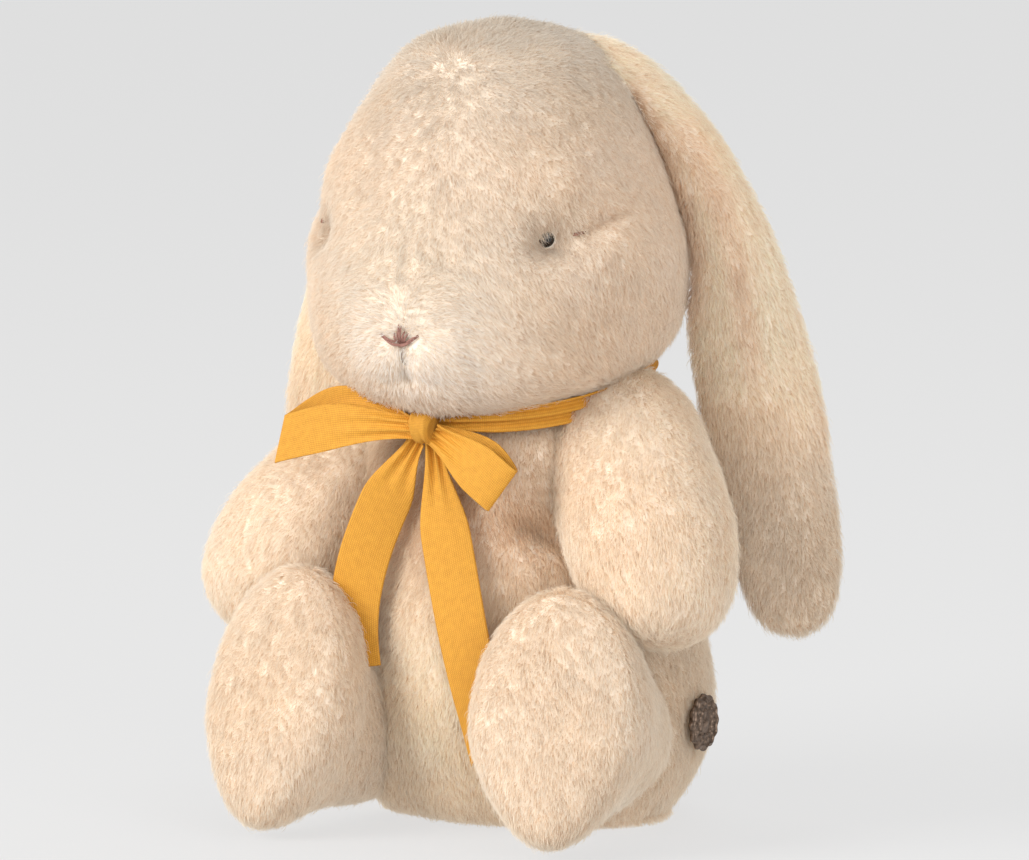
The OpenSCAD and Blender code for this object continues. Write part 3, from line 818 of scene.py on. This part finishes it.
def body_shape(p):
    """The torso's folds under the arms and over the legs, its belly and its back seam."""
    out = lumps(p, 41, 1.0) + tufts(p, 43) - SKIN_INSET
    for side in SIDES:
        armpit = mirror([[42, -24, 90], [32, -33, 95], [22, -38, 98], [12, -42, 100]], side)
        under = mirror([[46, -36, 88], [30, -43, 84], [16, -46, 86]], side)
        hip = mirror([[50, -22, 70], [34, -38, 72], [20, -44, 66]], side)
        out = out - 7.5 * groove(p, armpit, 5.6, 0.5) - 1.6 * groove(p, under, 3.6, 0.5)
        out = out - 1.4 * groove(p, hip, 5.0, 0.5)
        out = out + 1.2 * hill(p, mirror([30, -44, 91], side), [14, 8, 3.5])
        out = out + 1.5 * hill(p, mirror([45, 30, 35], side), [26, 26, 26])
    out = out + 4.5 * hill(p, [0, -42, 42], [24, 24, 30])
    seam = groove(p, [[0, 50, 128], [0, 53, 90], [0, 62, 60], [0, 65, 12]], 1.5, 0.1)
    return out - 0.8 * seam


torso = closed_mesh("torso", sculpt(loft(BODY, 190, 300, oval_ring), body_shape))
finish_skin(torso, "torso", ["body_front", "body_back_left", "body_back_right", "body_base",
                             "body_stuffing"])


def body_comb(p):
    """Fur falls down and a little outward."""
    side = np.sign(p[:, :1]) * smooth(np.abs(p[:, :1]) / 30)
    return columns(0.25 * side, 0, -1)


def body_tint_and_painted_shade(p):
    """Painted shade in the folds under the arms; darker on the flanks, lighter on the belly."""
    # painted shade: the fur in the folds under the arms is painted darker
    fold = np.zeros(len(p))
    for side in SIDES:
        path = mirror([[46, -20, 92], [32, -34, 96], [14, -42, 101]], side)
        fold = np.maximum(fold, np.exp(-(near_path(p, path)[0] / 13) ** 2))
    belly = hill(p, [0, -46, 40], [26, 30, 34])[:, None]
    flank = smooth((np.abs(p[:, :1]) - 30) / 30)
    base = np.array([1.0, 1.0, 0.975]) - 0.08 * flank + belly * np.array([0.05, 0.10, 0.12])
    return base - fold[:, None] * np.array([0.10, 0.20, 0.29])


def body_bald(p):
    """No fur under the base or under the head."""
    flat_base = p[:, 2] < 1.4
    under_head = (p[:, 2] > 136.5) & (np.hypot(p[:, 0], p[:, 1]) < 30)
    return 1.0 * (flat_base | under_head)


grow_fur(torso, 300, 4.0, 1.8, body_comb, body_tint_and_painted_shade, body_bald)


# ---------------------------------------- arms and legs
def limb_loft(start, end, stations, rows, cols, narrow=0.0):
    """Rings along a limb from start to end; narrow takes width off its underside."""
    start, end = np.asarray(start, float), np.asarray(end, float)
    along = unit(end - start)
    side = unit(np.cross([0, 0, 1], along))
    up = np.cross(along, side)

    def ring(s, a):
        """One ring of the limb."""
        x = s[1] * np.cos(a) * (1 - narrow * smooth((-np.sin(a) - 0.1) / 0.9))
        y = s[2] * np.sin(a) + s[3]
        return start + along * s[0] + side * x[:, None] + up * y[:, None]

    return loft(stations, rows, cols, ring)


# where each limb starts and ends; then stations: along it, half width, half height, lift
ARM_LINES = {"left": ([43.5, -7, 120.5], [76.5, -36, 73]),
             "right": ([43, -3, 111], [82.3, -40, 61.5])}
ARM = [
    [-25, 1, 1, 0],
    [-24, 9, 9, 0],
    [-19, 17, 17, 0],
    [-9, 22.8, 22.4, 0],
    [2, 25, 24.6, 0],
    [14, 25.7, 25.6, 0],
    [27, 25.9, 26.2, 0],
    [39, 25.5, 25.8, 0],
    [49, 23.6, 23.8, 0],
    [58, 20.0, 20.0, 0],
    [65.5, 14.2, 14.2, 0],
    [69.5, 7.6, 7.6, 0],
    [70.5, 1, 1, 0],
]


def arm_comb(p):
    """Fur falls down, outward and forward."""
    return columns(0.35 * np.sign(p[:, :1]), -0.25, -0.9)


def limb_tint(p):
    """Lighter than the head and the torso."""
    return np.ones((len(p), 3)) * np.array([1.035, 1.055, 1.06])


def arm_shape(p):
    """Stuffed unevenness and the seam along the outside."""
    out = lumps(p, 51, 0.9) + tufts(p, 53) - SKIN_INSET
    seam = groove(p, [[66, -20, 128], [88, -24, 104], [92, -38, 78], [76, -48, 64]], 1.5, 0.2)
    return out - 0.6 * seam


for side, label in SIDES.items():
    arm_grid = sculpt(limb_loft(*ARM_LINES[label], ARM, 120, 190), arm_shape)
    arm = closed_mesh("arm_" + label, arm_grid * [side, 1, 1])
    finish_skin(arm, "arm_" + label,
                [f"arm_{label}_{part}" for part in ("outer", "inner", "stuffing")])
    grow_fur(arm, 400 + side, 4.0, 1.7, arm_comb, limb_tint)

LEG_LINES = {"left": ([40, -20, 31], [49, -64, 43]), "right": ([42, -22, 30], [47.5, -64, 43])}
LEG = [
    [-22, 1, 1, 0],
    [-20, 9, 9, 0],
    [-14, 18.5, 18.5, 0],
    [0, 24, 24, 0],
    [14, 25.5, 27, 0],
    [26, 26.5, 32, 1],
    [35, 27.2, 37.5, 1.5],
    [42, 26.8, 39.4, 1.0],
    [47.5, 25.6, 38.6, 0.8],
    [51.0, 22.4, 35.4, 0.7],
    [53.2, 17.4, 31, 1],
    [54.6, 10, 21, 1],
    [55.0, 1, 2, 1],
]


# the right leg against the left: its share of the width at three places, and of the height
RIGHT_LEG_WIDTH = [0, 26, 42], [0.78, 0.8, 0.93]
RIGHT_LEG_HEIGHT = 1.04


def leg_shape(p, hip, foot):
    """Stuffed unevenness and the sewn edge of the sole."""
    along = unit(np.array(foot, float) - hip)
    depth = (p - hip) @ along
    centre = np.array(hip) + along * 46
    out = lumps(p, 61, 0.9) + tufts(p, 63) - SKIN_INSET
    edge = np.exp(-((depth - 46.3) / 1.3) ** 2)
    face = p - centre
    round_edge = smooth((np.linalg.norm(face * [1, 0.2, 0.66], axis=-1) - 14) / 8)
    return out - 0.45 * edge * round_edge


def leg_comb(p):
    """Fur falls almost straight down."""
    return columns(0.12 * np.sign(p[:, :1]), -0.1, -1)


for side, label in SIDES.items():
    hip, foot = LEG_LINES[label]
    stations = np.array(LEG, float)
    if label == "right":
        stations[:, 1] *= np.interp(stations[:, 0], *RIGHT_LEG_WIDTH)
        stations[:, 2] *= RIGHT_LEG_HEIGHT
    leg_grid = sculpt(limb_loft(hip, foot, stations, 130, 210, 0.18),
                      lambda p: leg_shape(p, hip, foot))
    leg = closed_mesh("leg_" + label, leg_grid * [side, 1, 1])
    finish_skin(leg, "leg_" + label,
                [f"leg_{label}_{part}" for part in ("outer", "inner", "stuffing")]
                + [f"foot_{label}_sole"])
    grow_fur(leg, 500 + side, 4.0, 1.7, leg_comb, lambda p: 0.94 * limb_tint(p))

# ---------------------------------------- tail
tail_mid = cad_centre("tail_pompom")
v, a = ball_angles(70, 110)
tail_grid = tail_mid + [0, -1.5, 0] + np.stack(
    [12.4 * np.sin(v) * np.cos(a), 9.8 * np.cos(v), 12.4 * np.sin(v) * np.sin(a)], -1)
tail = closed_mesh("tail", sculpt(tail_grid, lambda p: lumps(p, 71, 0.8) + tufts(p, 73, 0.8)))
finish_skin(tail, "torso", ["tail_pompom"])
grow_fur(tail, 600, 6.0, 4.0, lambda p: unit(p - tail_mid) + [0, 0, -0.5])

# ---------------------------------------- hidden soft pieces
plug_grid = cad_centre("neck_plug") + 14.6 * ball(40, 60)
plug = closed_mesh("neck_padding", sculpt(plug_grid, lambda p: lumps(p, 81, 0.4)))
declare(plug, filling, "neck", ["neck_plug"])

pouch_low, pouch_high = cad_box("pellet_pouch")
pouch_r = (pouch_high[0] - pouch_low[0]) / 2
pouch_h = (pouch_high[2] - pouch_low[2]) / 2
v, a = ball_angles(46, 90)
flat = np.sign(np.cos(v)) * np.abs(np.cos(v)) ** 0.8
pouch_grid = cad_centre("pellet_pouch") + np.stack(
    [pouch_r * np.sin(v) ** 0.8 * np.cos(a), pouch_r * np.sin(v) ** 0.8 * np.sin(a),
     pouch_h * flat], -1)
pouch = closed_mesh("pellet_pouch_bag", sculpt(pouch_grid, lambda p: lumps(p, 83, 0.6)))
declare(pouch, pouch_cloth, "torso", ["pellet_pouch"])


# ---------------------------------------- ribbon
def ribbon_material():
    """Golden plain weave, drawn from the weave attribute in mm."""
    m = material("ribbon", (0.80, 0.40, 0.055), 0.7)
    shader = m.node_tree.nodes["Principled BSDF"]
    place = node(m, "ShaderNodeAttribute", attribute_name="weave")
    warp = node(m, "ShaderNodeTexWave", Scale=0.48, Distortion=0.8, Detail=2.0)
    warp.inputs["Detail Scale"].default_value = 3.0
    turned = node(m, "ShaderNodeMapping")
    turned.inputs["Rotation"].default_value = (0, 0, math.radians(90))
    weft = node(m, "ShaderNodeTexWave", Scale=0.55, Distortion=0.8, Detail=2.0)
    weft.inputs["Detail Scale"].default_value = 3.0
    both = node(m, "ShaderNodeMath", operation="MULTIPLY")
    slub = node(m, "ShaderNodeTexNoise", Scale=0.45, Detail=3.0)
    ramp = colour_ramp(m, 0.1, (0.50, 0.205, 0.012), 0.75, (0.78, 0.385, 0.04))
    blend = node(m, "ShaderNodeMath", operation="MULTIPLY_ADD")
    blend.inputs[1].default_value = 0.5
    raised = node(m, "ShaderNodeBump", Strength=0.9, Distance=0.0002)
    wire(m, (place, "Vector", warp, "Vector"), (place, "Vector", turned, "Vector"),
         (turned, "Vector", weft, "Vector"), (place, "Vector", slub, "Vector"),
         (warp, "Fac", both, 0), (weft, "Fac", both, 1), (slub, "Fac", blend, 0),
         (both, 0, blend, 2), (blend, 0, ramp, "Fac"), (ramp, "Color", shader, "Base Color"),
         (both, 0, raised, "Height"), (raised, "Normal", shader, "Normal"))
    return m


gold = ribbon_material()


def lay_weave(obj, weave):
    """Stores where each point lies on the cloth, in mm, for the ribbon's material."""
    place = obj.data.attributes.new("weave", "FLOAT_VECTOR", "POINT")
    place.data.foreach_set("vector", weave.ravel())


def strip(name, centre, across, width, node_names, closed=False, cut=0.0,
          cols=25, bow=0.0, pleat=0.0, gather=0.0):
    """A ribbon along a line of points; across is its width's direction at each point.

    cut moves one edge's end back by that many mm, for a slanting end, bow curves it, and
    gather folds it lengthwise by that many mm in and out, to show less than its cut width."""
    centre = np.asarray(centre, float)
    across = unit(across)
    along = np.gradient(centre, axis=0)
    if closed:
        along = np.roll(centre, -1, 0) - np.roll(centre, 1, 0)
    along = unit(along)
    out = unit(np.cross(along, across))
    share = np.linspace(-1, 1, cols)
    width = np.broadcast_to(width, len(centre))
    length = run(centre)
    bow = np.broadcast_to(bow, len(centre))[:, None] * (1 - share[None] ** 2)
    bow = bow + np.broadcast_to(pleat, len(centre))[:, None] * np.sin(
        2.6 * math.pi * share[None] + 0.6)
    bow = bow + np.broadcast_to(gather, len(centre))[:, None] * np.sin(
        GATHER_FOLDS * math.pi * share[None] + 0.5)
    middle = (centre[:, None] + across[:, None] * (share[None, :, None] * width[:, None, None] / 2)
              + out[:, None] * bow[..., None])
    if cut:
        back = cut * (share + 1) / 2 / length[-1]
        rows = np.linspace(0, 1, len(centre))
        for j in range(cols):
            reach = rows * (1 - back[j])
            middle[:, j] = np.stack(
                [np.interp(reach, rows, middle[:, j, k]) for k in range(3)], 1)
    rows = len(centre)
    half = out[:, None] * RIBBON_THICKNESS / 2
    top, under = middle + half, middle - half
    ring = np.concatenate([top, under[:, ::-1]], axis=1)
    ring_cols = 2 * cols
    points = ring.reshape(-1, 3)
    faces = grid_faces(rows, ring_cols).tolist()
    if closed:
        last = (rows - 1) * ring_cols
        c = np.arange(ring_cols)
        k = (c + 1) % ring_cols
        faces += np.stack([last + c, last + k, k, c], 1).tolist()
    else:
        for start in (0, (rows - 1) * ring_cols):
            for j in range(cols - 1):
                far = start + ring_cols - 1 - j
                quad = [start + j, start + j + 1, far - 1, far]
                faces.append(quad if start else quad[::-1])
    obj = new_mesh(name, points, faces)
    weave = np.zeros((rows, ring_cols, 3), np.float32)
    weave[..., 0] = np.concatenate([share, share[::-1]])[None] * width[:, None] / 2
    weave[..., 1] = length[:, None]
    lay_weave(obj, weave)
    declare(obj, gold, "torso", node_names)
    return obj


def through(points, count):
    """Points spaced evenly along a smooth line."""
    dense = spline(points, 600)
    return spaced(dense, run(dense[:, :3]), count)


knot = cad_centre("bow_knot") + [0, 0, 3.5]
NECK = np.array([0, -1, 140.0])
LEAN = math.radians(12)
BAND_POINTS = 200
TAIL_POINTS = 120

# The band round the neck, tilted with it, lower at the back.
a = turns(BAND_POINTS)
drop = 0.6 - 7 * np.maximum(0, np.sin(a)) ** 2 + 0.5 * np.sin(3 * a)
x = 46 * np.cos(a)
y = np.where(np.sin(a) < 0, 47.5, 45) * np.sin(a)
band = NECK + np.stack([x, y * math.cos(LEAN) - drop * math.sin(LEAN),
                        y * math.sin(LEAN) + drop * math.cos(LEAN)], -1)
squeeze = 1 - 0.45 * np.exp(-((a - 1.5 * math.pi) / 0.22) ** 2)
tilt = np.stack([0.25 * np.cos(a), 0.25 * np.sin(a) - math.sin(LEAN),
                 np.full(BAND_POINTS, math.cos(LEAN))], -1)
strip("neckband", band, tilt, BAND_WIDTH * squeeze, ["ribbon_neckband"],
      closed=True, cols=49, gather=GATHER_DEPTH)

# Tails: x, y, z, turn of the width about Z in degrees
TAIL_LEFT = [[0, -51.5, 125, 4], [1.5, -51, 112, 8], [3.5, -50.5, 98, 12], [6.5, -50.5, 84, 14],
             [10.5, -51, 68, 12], [15, -51, 50, 8], [18, -50.5, 38, 6], [21, -50, 26, 6]]
TAIL_RIGHT = [[-5, -52, 125, 10], [-12, -51.5, 114, 16], [-19, -50, 102, 20],
              [-25, -48.5, 88, 18], [-28.5, -48, 74, 12], [-29, -48.5, 62, 6],
              [-27.5, -49.5, 52, 0]]
for label, route, cut in (("left", TAIL_LEFT, 12.0), ("right", TAIL_RIGHT, -9.0)):
    s = through(route, TAIL_POINTS)
    turn = np.radians(s[:, 3])
    wave = 0.8 * np.sin(np.linspace(0, 7, TAIL_POINTS))
    centre = s[:, :3] + np.stack([0 * wave, wave, 0 * wave], 1)
    across = np.stack([np.cos(turn), np.sin(turn), 0 * turn], 1)
    along = unit(np.gradient(centre, axis=0))
    across = unit(square_to(across, along))
    opening = smooth(np.linspace(0, 1, TAIL_POINTS) / 0.3)
    width = RIBBON_WIDTH * (0.36 + 0.64 * opening)
    bow = 1.2 * (1 - opening) - 0.6 * opening
    strip(f"ribbon_tail_{label}", centre, across, width, [f"bow_tail_{label}"],
          cut=cut, bow=-bow, pleat=0.9 * (1 - opening))


def loop_strip(label, end, half_gap, twist, sag, lower):
    """A loop of ribbon from the knot out to end and back behind itself."""
    end = np.asarray(end, float)
    start = knot + unit(end - knot) * 3.5
    reach = end - start
    out = np.array([0.35, -1, 0.0]) if label == "left" else np.array([-0.25, -1, 0.0])
    out = unit(square_to(out, unit(reach)))
    t = np.linspace(0, 2 * math.pi, 130)[2:-2]
    far = (1 - np.cos(t)) / 2
    gap = half_gap * np.sin(t) * np.sin(t / 2)
    centre = start + reach * far[:, None] + out * gap[:, None]
    centre = centre + np.array([0, 0, -1]) * (sag * np.sin(far * math.pi))[:, None]
    across = unit(np.cross(reach, out))
    if across[2] < 0:
        across = -across
    opening = smooth(far / 0.75)
    width = RIBBON_WIDTH * (0.45 + 0.52 * opening)
    tilt = unit(across + twist * unit(reach) * far[:, None])
    shift = across * (lower * 4 * far * (1 - far) * (t > math.pi))[:, None]
    strip(f"ribbon_loop_{label}", centre + shift, tilt, width, [f"bow_loop_{label}"],
          bow=-0.9 * (1 - opening) * np.sign(np.sin(t)), pleat=0.8 * (1 - opening))


loop_strip("left", [25, -52, 111], 3.2, 0.0, -1.0, 2.0)
loop_strip("right", [-50, -58, 123.5], 3.6, -0.35, -2.5, 5.5)

# The knot: a short wrap of ribbon pulled into folds.
vv, aa = np.meshgrid(np.linspace(-1, 1, 40), turns(72), indexing="ij")
r = 4.2 * (1 - 0.28 * np.abs(vv) ** 4) + 0.25 * np.sin(aa + 5 * vv) + 0.16 * np.cos(vv * 9)
knot_grid = knot + np.stack([(3.3 + 0.5 * np.cos(aa)) * vv + 0.4 * np.sin(aa),
                             0.85 * r * np.sin(aa) - 0.4, 1.2 * r * np.cos(aa)], -1)
knot_obj = closed_mesh("ribbon_knot", knot_grid)
weave = np.zeros((40 * 72 + 2, 3), np.float32)
weave[:-2, 0] = (6.2 * vv * 1.4).ravel()
weave[:-2, 1] = (5.6 * aa).ravel()
lay_weave(knot_obj, weave)
declare(knot_obj, gold, "torso", ["bow_knot"])

# ---------------------------------------- badge
badge_low, badge_high = cad_box("badge_plate")
badge_mid = (badge_low + badge_high) / 2 + [1.4, 1.2, 0]
BADGE_R = (badge_high[2] - badge_low[2]) / 2
turn = math.radians(-1)
face_out = np.array([math.cos(turn), math.sin(turn), 0])
face_side = np.array([-math.sin(turn), math.cos(turn), 0])
rr, aa = np.meshgrid(np.linspace(0.02, 1, 60), turns(240), indexing="ij")
edge = 1 + 0.045 * np.cos(12 * aa)
radius = BADGE_R * rr * (edge - 0.03)
height = 0.8 + 0.6 * np.exp(-((rr - 0.86) / 0.04) ** 2) + 0.55 * np.exp(-((rr - 0.45) / 0.035) ** 2)
height = height + 0.6 * np.exp(-((rr - 0.655) / 0.07) ** 2) * (0.5 + 0.5 * np.cos(16 * aa))
height = height + 0.8 * np.exp(-(rr / 0.17) ** 2)
height = height * smooth((1.02 - rr) / 0.06)
height = height + 0.12 * (1 - rr)
front = (badge_mid + face_out * (height[..., None] - 0.2)
         + face_side * (radius * np.cos(aa))[..., None]
         + np.array([0, 0, 1]) * (radius * np.sin(aa))[..., None])
back = front - face_out * (height[..., None] + 0.5)
plate_grid = np.concatenate([front, back[::-1]], axis=0)
plate = closed_mesh("badge", plate_grid)
declare(plate, bronze, "torso", ["badge_plate"])

# ---------------------------------------- what stays from the CAD
KEPT = {"pellets": pellet_plastic, "badge_stud": bronze, "badge_washer": bronze}
for name, finish in KEPT.items():
    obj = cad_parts[name]
    obj.data.materials.clear()
    obj.data.materials.append(finish)

# ---------------------------------------- floor, light and camera
FLOOR = (0.1, 0.1, 0.1)
FLOOR_GLOW = 0.66            # keeps the backdrop an even light grey
WORLD_LIGHT = 0.46
FLOOR_HALF = 9000.0          # wide enough to fill the view from every side
floor = new_mesh("floor", [[x * FLOOR_HALF, y * FLOOR_HALF, 0.0] for x, y in (
    (-1, -1), (1, -1), (1, 1), (-1, 1))], [[0, 1, 2, 3]], False)
floor.data.materials.append(
    material("floor", FLOOR, 0.9, Emission_Color=(1, 1, 1, 1), Emission_Strength=FLOOR_GLOW))

TARGET = Vector((1.2, 0.7, 123)) * MM


def area_light(name, place, size, power, colour=(1, 1, 1)):
    """A soft rectangular light aimed at the toy."""
    light = bpy.data.lights.new(name, "AREA")
    light.shape = "RECTANGLE"
    light.size, light.size_y = size
    light.energy = power
    light.color = colour
    obj = add(name, light)
    obj.location = place
    obj.rotation_euler = (TARGET - Vector(place)).to_track_quat("-Z", "Y").to_euler()


area_light("key", (-1.1, -1.7, 1.0), (1.3, 1.3), 55, (1, 0.985, 0.965))
area_light("fill", (1.6, -1.3, 0.6), (1.4, 1.4), 22)
area_light("top", (0.1, 0.5, 1.9), (1.4, 1.0), 9)

bpy.context.scene.view_settings.view_transform = "Standard"
world = bpy.data.worlds.new("studio")
bpy.context.scene.world = world
world.use_nodes = True
backdrop = world.node_tree.nodes["Background"].inputs
backdrop["Color"].default_value = (0.9, 0.9, 0.9, 1)
backdrop["Strength"].default_value = WORLD_LIGHT

CAMERA_AZIMUTH, CAMERA_ELEVATION, CAMERA_DISTANCE = 28.0, 6.8, 2.8
CAMERA_LENS = 312
az, el = math.radians(CAMERA_AZIMUTH), math.radians(CAMERA_ELEVATION)
back = Vector((math.sin(az) * math.cos(el), -math.cos(az) * math.cos(el), math.sin(el)))
camera = bpy.data.cameras.new("camera")
camera.lens = CAMERA_LENS
camera.sensor_width = 36
camera_obj = add("camera", camera)
camera_obj.location = TARGET + back * CAMERA_DISTANCE
camera_obj.rotation_mode = "QUATERNION"
camera_obj.rotation_quaternion = (-back).to_track_quat("-Z", "Y")
bpy.context.scene.camera = camera_obj
